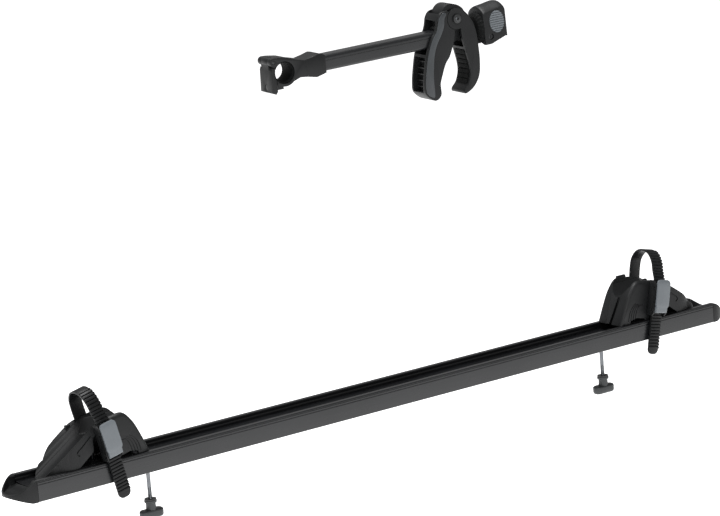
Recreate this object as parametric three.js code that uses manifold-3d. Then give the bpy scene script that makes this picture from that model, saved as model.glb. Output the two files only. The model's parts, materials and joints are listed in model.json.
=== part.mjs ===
// A bicycle carrier's add-on kit: a wheel rail with two sliding wheel cradles, and the separate arm
// that holds the bicycle's frame. X runs along the rail, -Y is the side of the strap buckles, Z is up,
// and the origin is the middle of the rail's underside. Millimetres.
import * as THREE from "three";
import { mergeVertices } from "three/addons/utils/BufferGeometryUtils.js";
import Module from "manifold-3d";

// --- Driving dimensions -------------------------------------------------------------------------

const RAIL_LENGTH = 1232;
const RAIL_WIDTH = 64;
const RAIL_HEIGHT = 30;
const RAIL_WALL = 2.5;
const TROUGH_MOUTH = 47.2;
const TROUGH_WIDTH = 56;
const TROUGH_FLOOR = 17.5;
const SLOT_MOUTH = 8.4;
const SLOT_WIDTH = 18.4;
const SLOT_TOP = 14.5;

const CAP_LENGTH = 34;
const CAP_RIM_DROP = 17;
const CAP_WALL = 2.5;

const BOLT_X = [-421, 411];
const BOLT_DIAMETER = 6;
const BOLT_TIP = -70;
const BOLT_HEAD = 16;
const KNOB_TOP = -48;
const KNOB_HEIGHT = 26;
const GRIP_LENGTH = 37;

const CRADLE_INNER = 429.5;
const CRADLE_OUTER = 592;
const CRADLE_WIDTH = 56;
const CRADLE_ROUND = 6;
const CRADLE_TOP = 63;
const VALLEY_FLOOR = 38;

const STRAP_FOOT = 494;
const STRAP_LEAN = THREE.MathUtils.degToRad(12.5);
const STRAP_WIDTH = 20;
const STRAP_THICKNESS = 2.5;
const STRAP_EYE = [23, 41];
const LEVER_PIN = [-40.5, 15];
const PAWL_PIN = [-40.2, 47];

const ARM_PLACE = new THREE.Vector3(-127.3, 24, 509);
const ARM_YAW = THREE.MathUtils.degToRad(-8);
const ARM_PITCH = THREE.MathUtils.degToRad(2.6);
const BORE_RADIUS = 14;
const CLAMP_WIDTH = 38;
const CLAMP_WALL = 6;
const GATE_PIN = [-15.5, 17];
const GATE_SCREW_Z = -19.8;
const TUBE_START = 48;
const TUBE_END = 262;
const TUBE_WIDTH = 28;
const TUBE_HEIGHT = 23;
const HEAD_WIDTH = 28.6;
const JAW_PIVOT = [286, 25];
const JAW_HUB = 15.5;
const JAW_DEPTH = 39;
const JAW_PLATE = 4.7;
const SPINDLE_Z = 2.5;
const COLLAR_START = 321.5;
const KNOB_START = 328.6;
const KNOB_END = 366;
const KNOB_FLAT = 21.5;
const LOCK = [339, -11];

const GAP = 0.4;
const RUNNING = 0.25;

// --- Colours ------------------------------------------------------------------------------------

const ANODISED = { color: 0x2b2c2e, roughness: 0.45, metalness: 0.7 };
const MOULDED = { color: 0x1f2022, roughness: 0.6, metalness: 0 };
const GREY_MOULDED = { color: 0x8b9096, roughness: 0.5, metalness: 0 };
const RUBBER = { color: 0x17181a, roughness: 0.85, metalness: 0 };
const STEEL = { color: 0x8d9094, roughness: 0.35, metalness: 1 };

// --- Solids -------------------------------------------------------------------------------------

const wasm = await Module();
wasm.setup();

function toSolid(geometry) {
  const bare = geometry.clone();
  bare.deleteAttribute("normal");
  bare.deleteAttribute("uv");
  const merged = mergeVertices(bare, 1e-4);
  return new wasm.Manifold(
    new wasm.Mesh({
      numProp: 3,
      vertProperties: merged.attributes.position.array,
      triVerts: new Uint32Array(merged.index.array),
    }),
  );
}

function toGeometry(solid) {
  const mesh = solid.getMesh();
  const geometry = new THREE.BufferGeometry();
  geometry.setAttribute("position", new THREE.BufferAttribute(mesh.vertProperties, 3));
  geometry.setIndex(new THREE.BufferAttribute(mesh.triVerts, 1));
  geometry.computeVertexNormals();
  return geometry;
}

function combine(method, first, others) {
  let solid = toSolid(first);
  for (const other of others) solid = solid[method](toSolid(other));
  return toGeometry(solid);
}

const cut = (first, ...others) => combine("subtract", first, others);
const join = (first, ...others) => combine("add", first, others);
const overlap = (first, ...others) => combine("intersect", first, others);

function shapeOf(points) {
  return new THREE.Shape(points.map(([x, y]) => new THREE.Vector2(x, y)));
}

// An outline in X and Z, pulled along Y and centred on it.
function sideways(shape, width, round = 0, curveSegments = 8) {
  const geometry = new THREE.ExtrudeGeometry(shape, {
    depth: width - 2 * round,
    bevelEnabled: round > 0,
    bevelThickness: round,
    bevelSize: round,
    bevelOffset: -round,
    bevelSegments: 2,
    curveSegments,
  });
  geometry.translate(0, 0, -(width - 2 * round) / 2);
  return geometry.rotateX(Math.PI / 2);
}

// A section in Y and Z, pulled along X from one place to another.
const ALONG_X = new THREE.Matrix4().makeBasis(
  new THREE.Vector3(0, 1, 0),
  new THREE.Vector3(0, 0, 1),
  new THREE.Vector3(1, 0, 0),
);
function lengthways(shape, from, to, curveSegments = 6) {
  const geometry = new THREE.ExtrudeGeometry(shape, {
    depth: to - from,
    bevelEnabled: false,
    curveSegments,
  });
  return geometry.applyMatrix4(ALONG_X).translate(from, 0, 0);
}

// An outline in X and Y, pulled up from one height to another.
function upright(shape, from, to, curveSegments = 10) {
  const geometry = new THREE.ExtrudeGeometry(shape, {
    depth: to - from,
    bevelEnabled: false,
    curveSegments,
  });
  return geometry.translate(0, 0, from);
}

function block(x, y, z) {
  const geometry = new THREE.BoxGeometry(x[1] - x[0], y[1] - y[0], z[1] - z[0]);
  return geometry.translate((x[0] + x[1]) / 2, (y[0] + y[1]) / 2, (z[0] + z[1]) / 2);
}

function rod(axis, radius, from, to, across = [0, 0], sides = 16) {
  const geometry = new THREE.CylinderGeometry(radius, radius, to - from, sides);
  geometry.translate(0, (from + to) / 2, 0);
  if (axis === "x") return geometry.rotateZ(-Math.PI / 2).translate(0, across[0], across[1]);
  if (axis === "z") return geometry.rotateX(Math.PI / 2).translate(across[0], across[1], 0);
  return geometry.translate(across[0], 0, across[1]);
}

function roundedRectangle(width, height, radius) {
  const shape = new THREE.Shape();
  const [w, h] = [width / 2, height / 2];
  shape.moveTo(-w + radius, -h);
  shape.lineTo(w - radius, -h);
  shape.absarc(w - radius, -h + radius, radius, -Math.PI / 2, 0);
  shape.lineTo(w, h - radius);
  shape.absarc(w - radius, h - radius, radius, 0, Math.PI / 2);
  shape.lineTo(-w + radius, h);
  shape.absarc(-w + radius, h - radius, radius, Math.PI / 2, Math.PI);
  shape.lineTo(-w, -h + radius);
  shape.absarc(-w + radius, -h + radius, radius, Math.PI, 1.5 * Math.PI);
  return shape;
}

function smoothOutline(points) {
  const shape = new THREE.Shape();
  shape.moveTo(...points[0]);
  shape.splineThru(points.slice(1).map(([x, y]) => new THREE.Vector2(x, y)));
  return shape;
}

function place(parent, name, geometry, look) {
  const mesh = new THREE.Mesh(geometry, new THREE.MeshStandardMaterial(look));
  mesh.name = name;
  parent.add(mesh);
  return mesh;
}

// --- The rail -----------------------------------------------------------------------------------

// Half of the section's outline on the +Y side, from the slot's mouth round to the trough's middle.
function railHalfOutline() {
  const side = RAIL_WIDTH / 2;
  const mouth = TROUGH_MOUTH / 2;
  const recess = TROUGH_WIDTH / 2;
  const lineGroove = (z) => [
    [side, z - 0.5],
    [side - 0.6, z],
    [side, z + 0.5],
  ];
  return [
    [SLOT_MOUTH / 2, 0],
    [side - 1.5, 0],
    [side, 1.5],
    ...lineGroove(24.6),
    ...lineGroove(27.8),
    [side, RAIL_HEIGHT - 1.2],
    [side - 1.2, RAIL_HEIGHT],
    [mouth + 1, RAIL_HEIGHT],
    [mouth, RAIL_HEIGHT - 1],
    [mouth, RAIL_HEIGHT - 3],
    [recess, RAIL_HEIGHT - 3.4],
    [recess, 22.5],
    [recess - 3, 20],
    [recess - 10, 18.2],
    [0, TROUGH_FLOOR],
  ];
}

function slotHalfOutline() {
  return [
    [SLOT_WIDTH / 2, SLOT_TOP],
    [SLOT_WIDTH / 2, RAIL_WALL],
    [SLOT_MOUTH / 2, RAIL_WALL],
  ];
}

const mirrored = (points) => points.map(([y, z]) => [-y, z]).reverse();

function railChannel() {
  const half = railHalfOutline();
  const slot = slotHalfOutline();
  const outline = [...slot, ...half, ...mirrored(half).slice(1), ...mirrored(slot)];
  const chamber = [
    [SLOT_WIDTH / 2 + RAIL_WALL, RAIL_WALL],
    [RAIL_WIDTH / 2 - RAIL_WALL, RAIL_WALL],
    [RAIL_WIDTH / 2 - RAIL_WALL, 18],
    [24, 17],
    [18, 15.8],
    [SLOT_WIDTH / 2 + RAIL_WALL, 15.4],
  ];
  return cut(
    lengthways(shapeOf(outline), -RAIL_LENGTH / 2, RAIL_LENGTH / 2),
    lengthways(shapeOf(chamber), -RAIL_LENGTH, RAIL_LENGTH),
    lengthways(shapeOf(mirrored(chamber)), -RAIL_LENGTH, RAIL_LENGTH),
  );
}

// The rim falls in an S from the rail's top to the nose.
function rimHeight(x) {
  return RAIL_HEIGHT - (CAP_RIM_DROP * (1 - Math.cos((Math.PI * x) / CAP_LENGTH))) / 2;
}

// The scoop's outline from above: as wide as the trough at the rail, then an even wall round the nose.
function capPocket(halfWidth) {
  const nose = CAP_LENGTH - RAIL_WIDTH / 2;
  const radius = RAIL_WIDTH / 2 - CAP_WALL;
  const turn = 1.3;
  const shape = new THREE.Shape();
  shape.moveTo(-1, -halfWidth);
  shape.lineTo(3, -halfWidth);
  shape.absarc(nose, 0, radius, -turn, turn);
  shape.lineTo(3, halfWidth);
  shape.lineTo(-1, halfWidth);
  return shape;
}

function endCap() {
  const radius = RAIL_WIDTH / 2;
  const outer = new THREE.Shape();
  outer.moveTo(GAP, -radius);
  outer.lineTo(CAP_LENGTH - radius, -radius);
  outer.absarc(CAP_LENGTH - radius, 0, radius, -Math.PI / 2, Math.PI / 2);
  outer.lineTo(GAP, radius);
  const rim = [[-1, RAIL_HEIGHT]];
  for (let x = 0; x <= CAP_LENGTH; x += CAP_LENGTH / 10) rim.push([x, rimHeight(x)]);
  rim.push([CAP_LENGTH + 2, rimHeight(CAP_LENGTH)], [CAP_LENGTH + 2, 40], [-1, 40]);
  const pocket = join(
    upright(capPocket(TROUGH_WIDTH / 2), 0, RAIL_HEIGHT - 3.2, 14),
    upright(capPocket(TROUGH_MOUTH / 2), RAIL_HEIGHT - 4, 41, 14),
  );
  const scoop = [
    [-2, TROUGH_FLOOR + 0.5],
    [6, 15.5],
    [14, 12],
    [22, 10.6],
    [34, 11.5],
    [34, 40],
    [-2, 40],
  ];
  const underside = [
    [8, -1],
    [10, 0],
    [34, 9],
    [40, 11],
    [40, -1],
  ];
  const body = cut(
    upright(outer, 0, RAIL_HEIGHT, 16),
    sideways(shapeOf(rim), 80),
    overlap(pocket, sideways(shapeOf(scoop), 80)),
    sideways(shapeOf(underside), 80),
  );
  return join(
    body,
    block([-15, 1], [12.6, 28.6], [3.2, 14.6]),
    block([-15, 1], [-28.6, -12.6], [3.2, 14.6]),
  );
}

function addRail(parent) {
  place(parent, "rail_channel", railChannel(), ANODISED);
  const right = place(parent, "right_end_cap", endCap(), MOULDED);
  right.position.x = RAIL_LENGTH / 2;
  const left = place(parent, "left_end_cap", endCap(), MOULDED);
  left.position.x = -RAIL_LENGTH / 2;
  left.rotation.z = Math.PI;
}

// --- Clamp bolts and their T knobs ---------------------------------------------------------------

function clampBolt() {
  const half = BOLT_HEAD / 2;
  return join(
    block([-half, half], [-half, half], [RAIL_WALL + RUNNING, RAIL_WALL + 4.2]),
    rod("z", BOLT_DIAMETER / 2, BOLT_TIP, RAIL_WALL + 1),
  );
}

function knobWasher() {
  return cut(
    rod("z", 8.6, KNOB_TOP + 0.3, KNOB_TOP + 1.9, [0, 0], 20),
    rod("z", BOLT_DIAMETER / 2 + RUNNING, KNOB_TOP - 1, KNOB_TOP + 3),
  );
}

// A flange, a neck and an oval grip with a rounded underside.
function tKnob() {
  const grip = sideways(roundedRectangle(GRIP_LENGTH, 12, 5), 17, 3.5, 3).translate(0, 0, KNOB_TOP - 20);
  const neck = new THREE.LatheGeometry(
    [
      [0, -18],
      [7.4, -18],
      [7.2, -5],
      [9, -3.6],
      [9, 0],
      [0, 0],
    ].map(([r, z]) => new THREE.Vector2(r, z)),
    20,
  )
    .rotateX(Math.PI / 2)
    .translate(0, 0, KNOB_TOP);
  const pocket = rod("z", 5.6, KNOB_TOP - 6, KNOB_TOP + 1, [0, 0], 6);
  const hole = rod("z", BOLT_DIAMETER / 2 + RUNNING, KNOB_TOP - KNOB_HEIGHT - 2, KNOB_TOP + 1);
  return cut(join(grip, neck), pocket, hole);
}

function knobNut() {
  return cut(
    rod("z", 5.2, KNOB_TOP - 5.6, KNOB_TOP - 0.4, [0, 0], 6),
    rod("z", BOLT_DIAMETER / 2 + 0.1, KNOB_TOP - 7, KNOB_TOP + 1),
  );
}

function addBolt(parent, side, x) {
  const group = new THREE.Group();
  group.position.x = x;
  place(group, `${side}_clamp_bolt`, clampBolt(), STEEL);
  place(group, `${side}_knob_washer`, knobWasher(), STEEL);
  place(group, `${side}_t_knob`, tKnob(), MOULDED);
  place(group, `${side}_knob_nut`, knobNut(), STEEL);
  parent.add(group);
}

// --- Wheel cradles ------------------------------------------------------------------------------
// Drawn for the +X end, with heights from the rail's top; the other end's is its mirror image.

function tilted(geometry) {
  return geometry.rotateY(STRAP_LEAN).translate(STRAP_FOOT, 0, 0);
}

function cradleOutline() {
  const shape = new THREE.Shape();
  shape.moveTo(CRADLE_INNER - 4, -8);
  shape.lineTo(CRADLE_INNER, 0);
  shape.splineThru(
    [
      [444, 32],
      [454, 49],
      [468, CRADLE_TOP - 1],
      [488, CRADLE_TOP - 2],
      [520, 55],
      [534, 53],
      [556, 34],
      [577, 12],
      [CRADLE_OUTER - 2, 2],
    ].map(([x, z]) => new THREE.Vector2(x, z)),
  );
  shape.lineTo(CRADLE_OUTER + 3, -8);
  return shape;
}

// Seen from above, the outboard end is rounded like a bow.
function cradlePlan() {
  const half = CRADLE_WIDTH / 2 + 1;
  const shape = new THREE.Shape();
  shape.moveTo(400, -half);
  shape.lineTo(545, -half);
  shape.bezierCurveTo(562, -half, CRADLE_OUTER - 2, -18, CRADLE_OUTER + 1, 0);
  shape.bezierCurveTo(CRADLE_OUTER - 2, 18, 562, half, 545, half);
  shape.lineTo(400, half);
  return shape;
}

function nosePlan() {
  const shape = new THREE.Shape();
  shape.moveTo(500, -22.5);
  shape.lineTo(566, -22.5);
  shape.bezierCurveTo(580, -22.5, 600, -16, 600, 0);
  shape.bezierCurveTo(600, 16, 580, 22.5, 566, 22.5);
  shape.lineTo(500, 22.5);
  return shape;
}

// A trough along X whose floor passes a place and climbs by so much per millimetre.
function slopingTrough(half, from, to, [x, z], climb) {
  const slope = new THREE.Matrix4().set(1, 0, 0, 0, 0, 1, 0, 0, climb, 0, 1, z - climb * x, 0, 0, 0, 1);
  return lengthways(shapeOf([...half, ...mirrored(half)]), from, to).applyMatrix4(slope);
}

function cradle() {
  const shell = overlap(
    sideways(cradleOutline(), CRADLE_WIDTH, CRADLE_ROUND, 3),
    upright(cradlePlan(), GAP, 80, 6),
  );
  const valley = [
    [-21, 80],
    [-20, CRADLE_TOP - 4],
    [-5, VALLEY_FLOOR],
    [5, VALLEY_FLOOR],
    [20, CRADLE_TOP - 4],
    [21, 80],
  ];
  const slit = [
    [CRADLE_INNER - 8, -4],
    [CRADLE_INNER + 7, -4],
    [466, 60],
    [440, 60],
  ];
  const hollow = [
    [444, -1],
    [456, 28],
    [464, 33],
    [520, 33],
    [566, 3],
    [572, -1],
  ];
  const arch = [
    [506, -1],
    [548, -1],
    [533, 10],
    [521, 19],
    [521, 38],
    [514, 42],
    [510, 36],
  ];
  const relief = [
    [448, -1],
    [480, -1],
    [478, 3.5],
    [463, 7],
    [451, 5],
  ];
  const dish = [
    [4, 0],
    [30, 15.6],
    [30, 70],
  ];
  const notch = [
    [2.5, 0],
    [21, 26],
    [21, 60],
  ];
  const outboard = slopingTrough(dish, 490, 620, [522, VALLEY_FLOOR], -0.66);
  const inboard = slopingTrough(notch, 420, 462, [454, VALLEY_FLOOR], 1.75);
  const strapSlot = tilted(block([-10.8, 10.8], [21, 25.6], [41, 90]));
  const eyeRoom = tilted(rod("x", 3.6, -10.8, 10.8, STRAP_EYE));
  const pinHole = tilted(rod("x", 1.4, -30, 30, STRAP_EYE, 12));
  const screwHole = rod("z", 3, 20, 50, [508, 0]);
  const screwSeat = rod("z", 6, VALLEY_FLOOR - 2.6, 50, [508, 0]);
  const tabs = join(block([472, 489], [22.6, 27.4], [50, 64.4]), block([524, 532], [22.6, 27.4], [38, 49.4]));
  const nose = overlap(
    sideways(shapeOf([[560.6, -9.4], [560.6, 6], [576, 10], [592, 2], [599, -5], [600, -9.4]]), 45),
    upright(nosePlan(), -20, 20, 8),
  );
  return cut(
    join(cut(join(shell, nose), overlap(outboard, block([480, 620], [-40, 40], [-6.6, 90]))), tabs),
    inboard,
    lengthways(shapeOf(valley), 400, 620),
    sideways(shapeOf(slit), 5),
    sideways(shapeOf(hollow), 44),
    sideways(shapeOf(arch), 24).translate(0, -30, 0),
    sideways(shapeOf(relief), 24).translate(0, -30, 0),
    strapSlot,
    eyeRoom,
    pinHole,
    screwHole,
    screwSeat,
  );
}

function slideShoe() {
  const drop = -RAIL_HEIGHT;
  const half = [
    [21, 19.6 + drop],
    [23, 20.2 + drop],
    [26, 23.2 + drop],
    [27.4, 23.6 + drop],
    [27.4, 26.1 + drop],
    [22.9, 26.1 + drop],
    [22.9, 0],
  ];
  return cut(
    lengthways(shapeOf([...half, ...mirrored(half)]), 452, 560),
    rod("z", 2.8, -20, 5, [508, 0]),
  );
}

function shoeScrew() {
  return join(
    rod("z", 5.6, VALLEY_FLOOR - 2.3, VALLEY_FLOOR + 0.6, [508, 0]),
    rod("z", 2.5, -9, VALLEY_FLOOR - 1, [508, 0], 14),
  );
}

// The strap's middle line in its own leaning plane: up from the back wall, over, and down in front.
function strapLine() {
  const points = [
    [23, 42],
    [23.2, 58],
    [24.2, 74],
    [22.5, 88],
    [13.5, 99.5],
    [0, 103],
    [-13.5, 99],
    [-23.5, 88],
    [-28.5, 74],
    [-33.4, 62],
    [-34.7, 50],
    [-34.7, 10],
    [-35.6, -20],
    [-36.4, -54],
  ];
  return new THREE.SplineCurve(points.map(([y, z]) => new THREE.Vector2(y, z)));
}

function strapSection(steps, inner, outer) {
  const line = strapLine();
  const near = [];
  const far = [];
  for (let i = 0; i <= steps; i += 1) {
    const at = line.getPointAt(i / steps);
    const along = line.getTangentAt(i / steps);
    const left = new THREE.Vector2(along.y, -along.x);
    near.push([at.x + left.x * inner, at.y + left.y * inner]);
    far.push([at.x + left.x * outer, at.y + left.y * outer]);
  }
  return shapeOf([...near, ...far.reverse()]);
}

function strap() {
  const half = STRAP_WIDTH / 2;
  const band = lengthways(strapSection(34, -STRAP_THICKNESS / 2, STRAP_THICKNESS / 2), -half, half);
  const tip = upright(roundedRectangle(STRAP_WIDTH + 0.1, 240, 8), -50, 50)
    .rotateX(Math.PI / 2)
    .translate(0, 0, 66);
  const boss = rod("x", 3.2, -half, half, STRAP_EYE);
  return cut(join(overlap(band, tip), boss), rod("x", 1.4, -20, 20, STRAP_EYE, 12));
}

function buckleFrame() {
  const cheek = shapeOf([
    [-28.6, 6],
    [-40, 6],
    [-43.6, 10],
    [-43.6, 54],
    [-38, 60],
    [-28.6, 60],
  ]);
  const base = block([-13.4, 13.4], [-31.2, -28.6], [6, 58]);
  const body = join(
    base,
    lengthways(cheek, -13.4, -11.2),
    lengthways(cheek, 11.2, 13.4),
  );
  return cut(body, rod("x", 2.1, -20, 20, LEVER_PIN), rod("x", 1.7, -20, 20, PAWL_PIN));
}

function buckleLever() {
  const plate = [
    [-45, 18.6],
    [-48.2, 18.6],
    [-48.6, 30],
    [-47.6, 56],
    [-45.2, 62],
    [-43.8, 61],
    [-44.6, 50],
    [-45.2, 30],
  ];
  const heel = [
    [-45, 10.8],
    [-41, 10.8],
    [-38, 13],
    [-38, 17],
    [-41, 19.4],
    [-45.6, 22],
    [-48, 22],
    [-47.4, 12.4],
  ];
  return cut(
    join(lengthways(shapeOf(plate), -12.6, 12.6), lengthways(shapeOf(heel), -10.8, 10.8)),
    rod("x", 2.1, -20, 20, LEVER_PIN),
  );
}

function releasePawl() {
  const outline = [
    [-38.4, 34],
    [-39.6, 33.4],
    [-42.4, 44],
    [-42.4, 51],
    [-41, 53],
    [-38.6, 49],
  ];
  return cut(lengthways(shapeOf(outline), -8, 8), rod("x", 1.7, -20, 20, PAWL_PIN));
}

function addCradle(parent, side) {
  const group = new THREE.Group();
  group.position.z = RAIL_HEIGHT;
  if (side === "left") group.scale.x = -1;
  place(group, `${side}_wheel_cradle`, cradle(), MOULDED);
  place(group, `${side}_slide_shoe`, slideShoe(), MOULDED);
  place(group, `${side}_shoe_screw`, shoeScrew(), STEEL);
  place(group, `${side}_strap`, tilted(strap()), MOULDED);
  place(group, `${side}_strap_pin`, tilted(rod("x", 1.1, -13, 13, STRAP_EYE, 12)), STEEL);
  place(group, `${side}_buckle_frame`, tilted(buckleFrame()), MOULDED);
  place(group, `${side}_buckle_lever`, tilted(buckleLever()), GREY_MOULDED);
  place(group, `${side}_lever_pin`, tilted(rod("x", 1.85, -13.2, 13.2, LEVER_PIN)), STEEL);
  place(group, `${side}_release_pawl`, tilted(releasePawl()), MOULDED);
  place(group, `${side}_pawl_pin`, tilted(rod("x", 1.45, -13.2, 13.2, PAWL_PIN)), STEEL);
  parent.add(group);
}

// --- The frame arm ------------------------------------------------------------------------------
// Drawn in its own frame: the origin is on the axis of the bar's bore, X runs along the tube.

function tubeSection(inset = 0) {
  return roundedRectangle(TUBE_WIDTH - 2 * inset, TUBE_HEIGHT - 2 * inset, 6 - inset);
}

function armTube() {
  const section = tubeSection();
  section.holes.push(tubeSection(2));
  return lengthways(section, TUBE_START, TUBE_END, 3);
}

// The clamp's fixed side: a C round the bar, a neck and a flared socket for the tube.
function clampHousing() {
  const outer = BORE_RADIUS + CLAMP_WALL;
  const ring = rod("y", outer, -CLAMP_WIDTH / 2, CLAMP_WIDTH / 2, [0, 0], 28);
  const crown = sideways(
    shapeOf([
      [GATE_PIN[0], 11],
      [GATE_PIN[0], 23],
      [-8, 22.5],
      [7, 20],
      [22, 14.6],
      [34, 11.4],
      [34, -12.6],
      [24, -11.4],
      [10, -16],
      [0, 0],
    ]),
    CLAMP_WIDTH,
  );
  const flare = sideways(
    shapeOf([
      [26, 11.4],
      [34, 11.4],
      [46, 13.6],
      [57, 16.4],
      [62, 15.4],
      [67, 13],
      [67, -12.9],
      [60, -14.6],
      [51, -16.6],
      [38, -13.6],
      [26, -11.6],
    ]),
    TUBE_WIDTH + 8,
    1,
    2,
  );
  const knuckle = rod("y", 6, -CLAMP_WIDTH / 2, CLAMP_WIDTH / 2, GATE_PIN, 18);
  const bore = rod("y", BORE_RADIUS + 2, -40, 40, [0, 0], 28);
  const mouth = block([-60, -13], [-40, 40], [-60, 9.5]);
  const gateRoom = rod("y", 6.6, -10, 10, GATE_PIN, 18);
  const webRoom = block([-40, -14.4], [-10, 10], [0, 17]);
  const pinHole = rod("y", 2.6, -40, 40, GATE_PIN);
  const socket = lengthways(tubeSection(-GAP), TUBE_START - GAP, 80, 3);
  const fork = block([-40, 4], [-3.4, 3.4], [-40, -16.6]);
  const foot = block([-13, -1], [-12, 12], [-24, -14]);
  return cut(
    join(ring, crown, flare, knuckle, foot),
    bore,
    mouth,
    gateRoom,
    webRoom,
    pinHole,
    socket,
    fork,
  );
}

// The flap that closes the bore; its screw's head is sunk in the outer face.
function clampGate() {
  const plate = sideways(
    shapeOf([
      [-20.2, 5],
      [-18.6, 9],
      [-13.4, 9],
      [-13.4, -25],
      [-16.6, -29],
      [-22.4, -26],
    ]),
    CLAMP_WIDTH,
    1,
  );
  const eye = rod("y", 6, -9.6, 9.6, GATE_PIN, 18);
  const web = block([-20.2, -14.8], [-9.6, 9.6], [4, 16]);
  const bore = rod("y", BORE_RADIUS + 2, -40, 40, [0, 0], 28);
  const pinHole = rod("y", 2.6, -40, 40, GATE_PIN);
  const screwHole = rod("x", 3.4, -50, 0, [0, GATE_SCREW_Z]);
  const screwSeat = rod("x", 5, -50, -18.6, [0, GATE_SCREW_Z]);
  const housingRoom = [-1, 1].map((sign) =>
    rod("y", 6.6, Math.min(sign * 10, sign * 40), Math.max(sign * 10, sign * 40), GATE_PIN, 18),
  );
  return cut(join(plate, eye, web), bore, pinHole, screwHole, screwSeat, ...housingRoom);
}

// A rubber liner, split where the gate opens.
function borePad(fixed) {
  const ring = cut(
    rod("y", BORE_RADIUS + 1.6, -17, 17, [0, 0], 28),
    rod("y", BORE_RADIUS, -20, 20, [0, 0], 28),
  );
  const side = fixed
    ? block([-12.6, 30], [-20, 20], [-30, 30])
    : block([-30, -13.2], [-20, 20], [-30, 8.5]);
  return overlap(ring, side);
}

function clampScrew() {
  return join(
    rod("x", 4.6, -21.4, -19, [0, GATE_SCREW_Z]),
    rod("x", 3, -20, -3, [0, GATE_SCREW_Z]),
  );
}

// The head is plugged into the tube's end. It carries the jaws' pivot above the tube, and the
// spindle's bearing.
function jawHead() {
  const sleeve = lengthways(roundedRectangle(HEAD_WIDTH, 32, 7), 257, 270, 3).translate(0, 0, 0.5);
  const neck = lengthways(roundedRectangle(20, 24, 5), 269, 319, 3).translate(0, 0, SPINDLE_Z);
  const lug = sideways(
    smoothOutline([
      [262, 8],
      [262.5, 31],
      [268, 42],
      [278, 47.5],
      [292, 44],
      [302, 34],
      [306, 12],
    ]),
    HEAD_WIDTH,
    0,
    5,
  );
  const socket = lengthways(tubeSection(-GAP), 200, TUBE_END + GAP, 3);
  const bore = rod("x", 6.3, 255, 330, [0, SPINDLE_Z]);
  const pivot = rod("y", 4.2, -30, 30, JAW_PIVOT);
  const spigot = lengthways(tubeSection(2 + GAP), TUBE_END - 30, TUBE_END + 2, 3);
  return join(cut(join(sleeve, neck, lug), socket, bore, pivot), spigot);
}

const LEFT_HORN = [
  [272, 39.6],
  [261, 37.8],
  [254.4, 30],
  [251.6, 20],
  [248, 11],
  [240.5, 2],
  [231, -18],
  [225, -40],
  [221, -60],
  [221.6, -75],
  [236, -87],
  [247, -81],
  [248, -65],
  [252, -54],
  [260, -37],
  [270, -24],
  [281, 6],
  [276, 33],
];

const RIGHT_HORN = [
  [299, 35],
  [308, 24],
  [315, 6],
  [317, -14],
  [317, -42],
  [313, -64],
  [302, -79],
  [288, -86],
  [286, -81],
  [294, -72],
  [299, -58],
  [299, -44],
  [296, -26],
  [291, 6],
  [296, 25],
];

// Round the pivot the two jaws share the depth of their side plates, like scissors.
function layered(body, ownsOutside) {
  const [plate, face] = [JAW_DEPTH / 2 - JAW_PLATE, JAW_DEPTH / 2];
  const middle = (plate + face) / 2;
  const both = (radius, from, to) => [
    rod("y", radius, from, to, JAW_PIVOT, 24),
    rod("y", radius, -to, -from, JAW_PIVOT, 24),
  ];
  if (ownsOutside) {
    const cleared = cut(body, ...both(JAW_HUB + 0.8, 0, middle + GAP / 2));
    return join(cleared, ...both(JAW_HUB, middle + GAP / 2, face));
  }
  const cleared = cut(body, ...both(JAW_HUB + 0.8, middle - GAP / 2, face + 1));
  return join(cleared, ...both(JAW_HUB, plate, middle - GAP / 2));
}

// Above the tube two side plates straddle the head, and what a jaw keeps joins them again.
function jaw(horn, ownsOutside, kept, ...rooms) {
  const inside = JAW_DEPTH / 2 - JAW_PLATE;
  const between = cut(block([180, 360], [-inside, inside], [-19, 80]), kept);
  const body = cut(sideways(smoothOutline(horn), JAW_DEPTH, 0, 2), between, ...rooms);
  return cut(layered(body, ownsOutside), rod("y", 4.2, -30, 30, JAW_PIVOT));
}

// The left jaw is hollow behind its outer edge, with thin webs across the hollow.
function ribbedHollow() {
  const hollow = sideways(
    shapeOf([
      [200, -23],
      [240, -23],
      [235.5, -40],
      [231.5, -60],
      [231, -73],
      [200, -73],
    ]),
    2 * (JAW_DEPTH / 2 - JAW_PLATE),
  );
  const webs = [-31, -40, -49, -58, -67].map((z) => {
    const edge = 221 + 0.0046 * (z + 67) ** 2;
    return block([edge + 3.5, 250], [-20, 20], [z, z + 1.6]);
  });
  return cut(hollow, ...webs);
}

// A pad fills a recess along the jaw's inner edge: edge points run down it, sign points at the gap.
function padBand(edge, sign, near, far) {
  const shifted = (by) => edge.map(([x, z]) => [x + sign * by, z]);
  return [...shifted(near), ...shifted(far).reverse()];
}

const LEFT_EDGE = [
  [272, -23],
  [264.5, -30],
  [258, -41],
  [252, -54],
  [248.6, -66],
  [247.4, -78],
];
const RIGHT_EDGE = [
  [296.4, -23],
  [298.8, -38],
  [299.4, -50],
  [298, -62],
  [293.4, -73],
];

function jawPad(edge, sign) {
  const ribs = [];
  for (let z = -30; z > -74; z -= 7) ribs.push(block([200, 340], [-20, 20], [z - 1.4, z]));
  const outside = sideways(shapeOf(padBand(edge, sign, 0.6, 1.8)), 28);
  const band = sideways(shapeOf(padBand(edge, sign, -4, 1.8)), 28);
  return cut(band, overlap(outside, join(ribs[0], ...ribs.slice(1))));
}

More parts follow.
